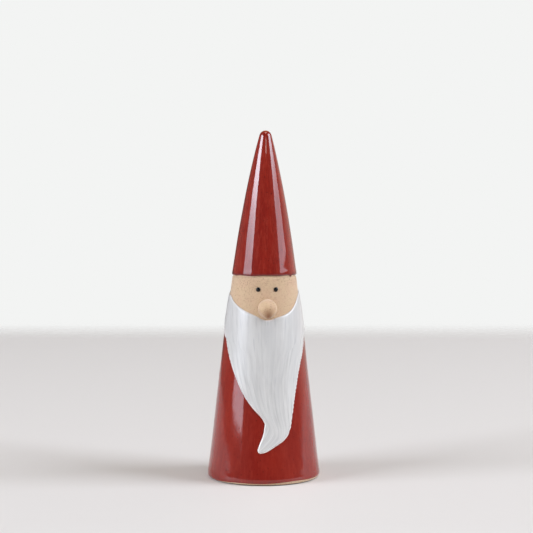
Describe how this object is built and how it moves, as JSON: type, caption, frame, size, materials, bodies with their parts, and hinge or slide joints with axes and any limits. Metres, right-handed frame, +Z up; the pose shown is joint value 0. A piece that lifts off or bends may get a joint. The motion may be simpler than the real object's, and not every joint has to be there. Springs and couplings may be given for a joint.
{
  "type": "tomte gnome figurine",
  "caption": "Tall conical ceramic gnome with a pointed glossy hat, a bare clay face with a round nose and bead eyes, and a long combed beard that curls at its end.",
  "frame": {"origin": "centre of the foot, on the surface that the figurine stands on", "axes": "+Z up through the tip of the hat, the face looks towards -Y, +X is the figurine's own left"},
  "size_m": [0.0648, 0.0648, 0.2],
  "materials": {
    "clay": "matt",
    "slip": "matt",
    "red_glaze": "gloss",
    "white_glaze": "satin",
    "black_glaze": "gloss"
  },
  "bodies": {
    "root": {"clay_shell": "clay", "beard_slip": "slip", "beard_slab": "clay", "nose_slip": "slip", "nose": "clay", "left_eye": "black_glaze", "right_eye": "black_glaze", "hat_glaze": "red_glaze", "robe_glaze": "red_glaze", "beard_glaze": "white_glaze"}
  },
  "joints": []
}
